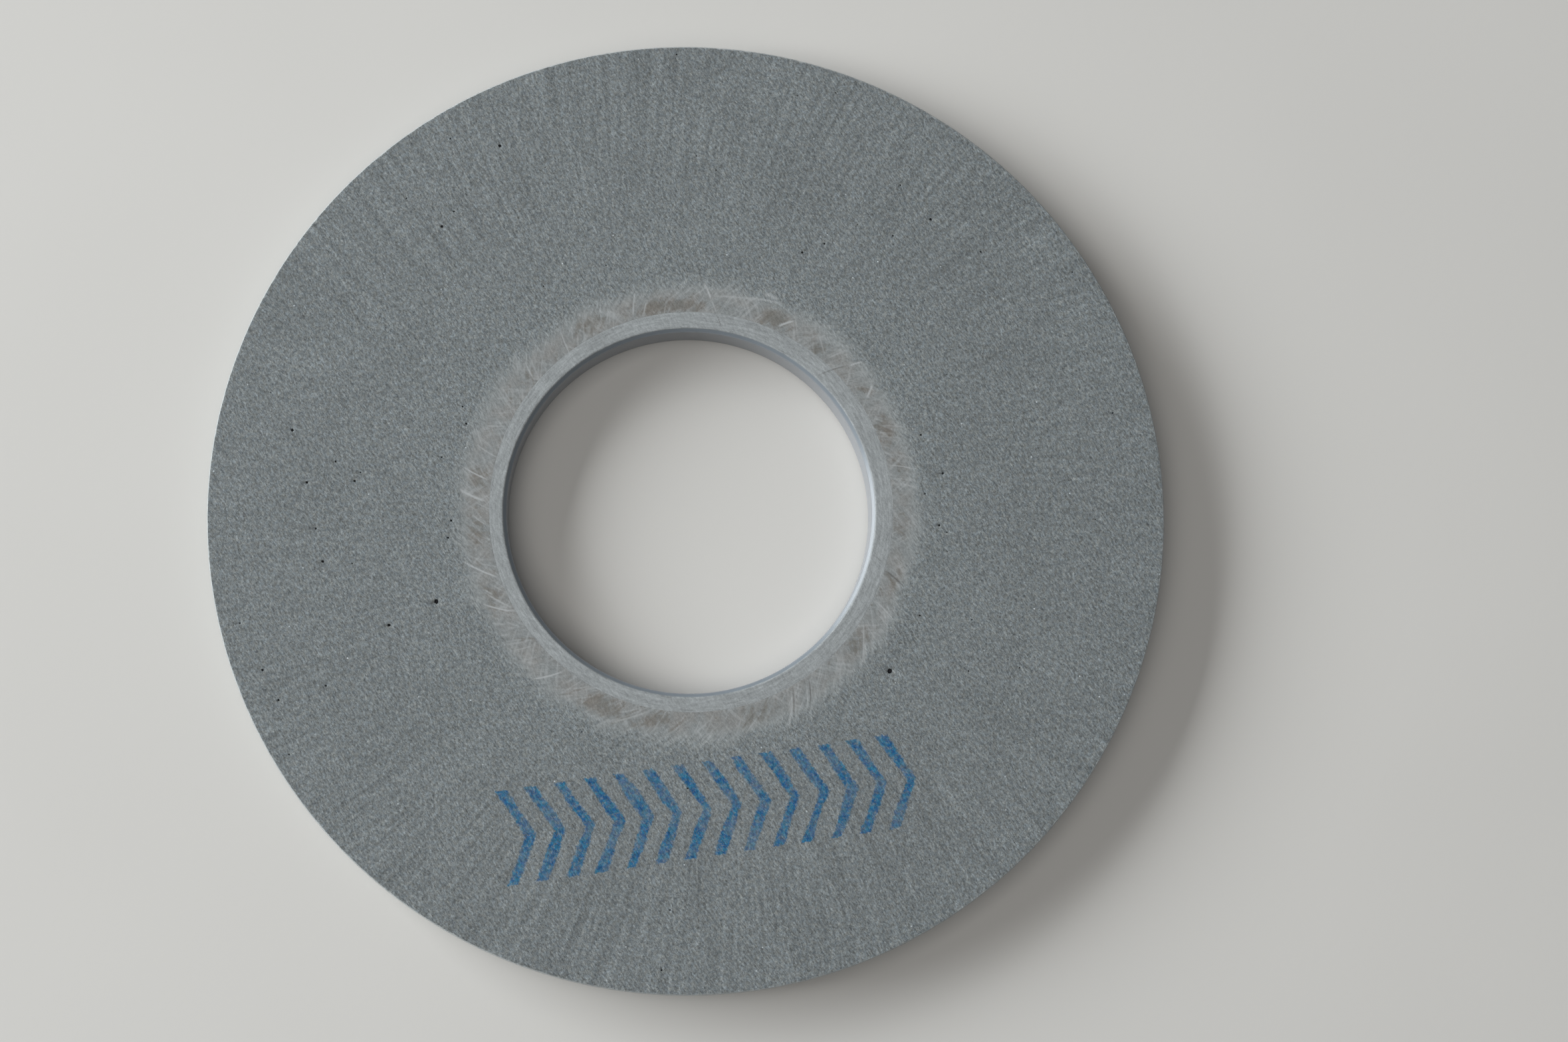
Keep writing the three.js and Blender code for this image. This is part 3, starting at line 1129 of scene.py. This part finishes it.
def cement_material():
    """Grey-brown cement with sand in it."""
    g = Graph("cement")
    grains = g.noise(g.place, 3.0, 3.0, 0.7)
    colour = g.mix(g.ramp(grains, 0.3, 0.7), CEMENT_DARK, CEMENT_PALE)
    return g.surface(colour, g.ramp(grains, 0.3, 0.7, 0.6, 0.8), g.bump(grains, 0.05))


def floor_material():
    """A plain pale floor with the faintest mottling."""
    g = Graph("pale_floor")
    cloud = g.noise(g.place, 0.01, 2.0, 0.5)
    colour = g.mix(cloud, FLOOR_DARK, FLOOR_PALE)
    return g.surface(colour, 0.95, g.bump(g.noise(g.place, 0.5, 2.0), 0.01), specular=0.05)


# ---------------------------------------------------------------- camera, light and floor

CAMERA_PLACE = (-13.8, -81.0, 614.6)
CAMERA_TURN = (7.447, -3.117, -0.407)
CAMERA_LENS = 67.03
SENSOR_WIDTH = 36
LAMP_DISTANCE = 2800
WINDOW_LIGHT = (0.965, 0.99, 1.0)
OVERHEAD_LIGHT = (1.0, 0.97, 0.93)
SURROUND_LIGHT = (0.93, 0.96, 1.0, 1)
SURROUND_STRENGTH = 0.09
FLOOR_REACH = 3000


def camera():
    """The photographer's place: above the wheel, a little towards the front edge and to the left."""
    data = bpy.data.cameras.new("camera")
    data.sensor_width = SENSOR_WIDTH
    data.lens = CAMERA_LENS
    data.clip_start = 10 * MM
    eye = bpy.data.objects.new("camera", data)
    eye.location = Vector(CAMERA_PLACE) * MM
    eye.rotation_euler = [math.radians(a) for a in CAMERA_TURN]
    bpy.context.scene.collection.objects.link(eye)
    bpy.context.scene.camera = eye


def soft_lamp(name, turn, height, across, tall, power, colour):
    """A rectangular area lamp that faces the wheel from LAMP_DISTANCE away.

    turn and height are its direction in degrees, and across and tall its size in mm.
    """
    data = bpy.data.lights.new(name, "AREA")
    data.shape = "RECTANGLE"
    data.size = across * MM
    data.size_y = tall * MM
    data.energy = power
    data.color = colour
    lamp = bpy.data.objects.new(name, data)
    level, up = math.cos(math.radians(height)), math.sin(math.radians(height))
    direction = Vector((*from_polar((turn, level)), up))
    lamp.location = direction * LAMP_DISTANCE * MM
    lamp.rotation_euler = (-direction).to_track_quat("-Z", "Y").to_euler()
    bpy.context.scene.collection.objects.link(lamp)


def studio():
    """A pale floor, a window-like lamp low on the left, a wide soft one overhead, and a dim surround."""
    scene = bpy.context.scene
    scene.view_settings.view_transform = "Standard"
    scene.world = bpy.data.worlds.new("surround")
    scene.world.use_nodes = True
    background = scene.world.node_tree.nodes["Background"]
    background.inputs["Color"].default_value = SURROUND_LIGHT
    background.inputs["Strength"].default_value = SURROUND_STRENGTH
    soft_lamp("window", turn=161, height=23, across=2600, tall=1240, power=132, colour=WINDOW_LIGHT)
    soft_lamp("overhead", turn=220, height=75, across=2400, tall=2400, power=29, colour=OVERHEAD_LIGHT)
    half = FLOOR_REACH * MM
    mesh = bpy.data.meshes.new("floor")
    corners = [(-half, -half, 0), (half, -half, 0), (half, half, 0), (-half, half, 0)]
    mesh.from_pydata(corners, [], [(0, 1, 2, 3)])
    mesh.materials.append(floor_material())
    floor = bpy.data.objects.new("floor", mesh)
    scene.collection.objects.link(floor)


# ---------------------------------------------------------------- the scene

camera()
studio()
grit_material = wheel_face("grit_front", True)
resin_material = wheel_face("resin_on_grit", False)
abrasive_ring(grit_material)
bore_bush(bush_material())
resin_collar("resin_collar_front", "front_resin_collar", True, 61, resin_material)
resin_collar("resin_collar_back", "back_resin_collar", False, 67, resin_material)
cement_sleeve(cement_material())
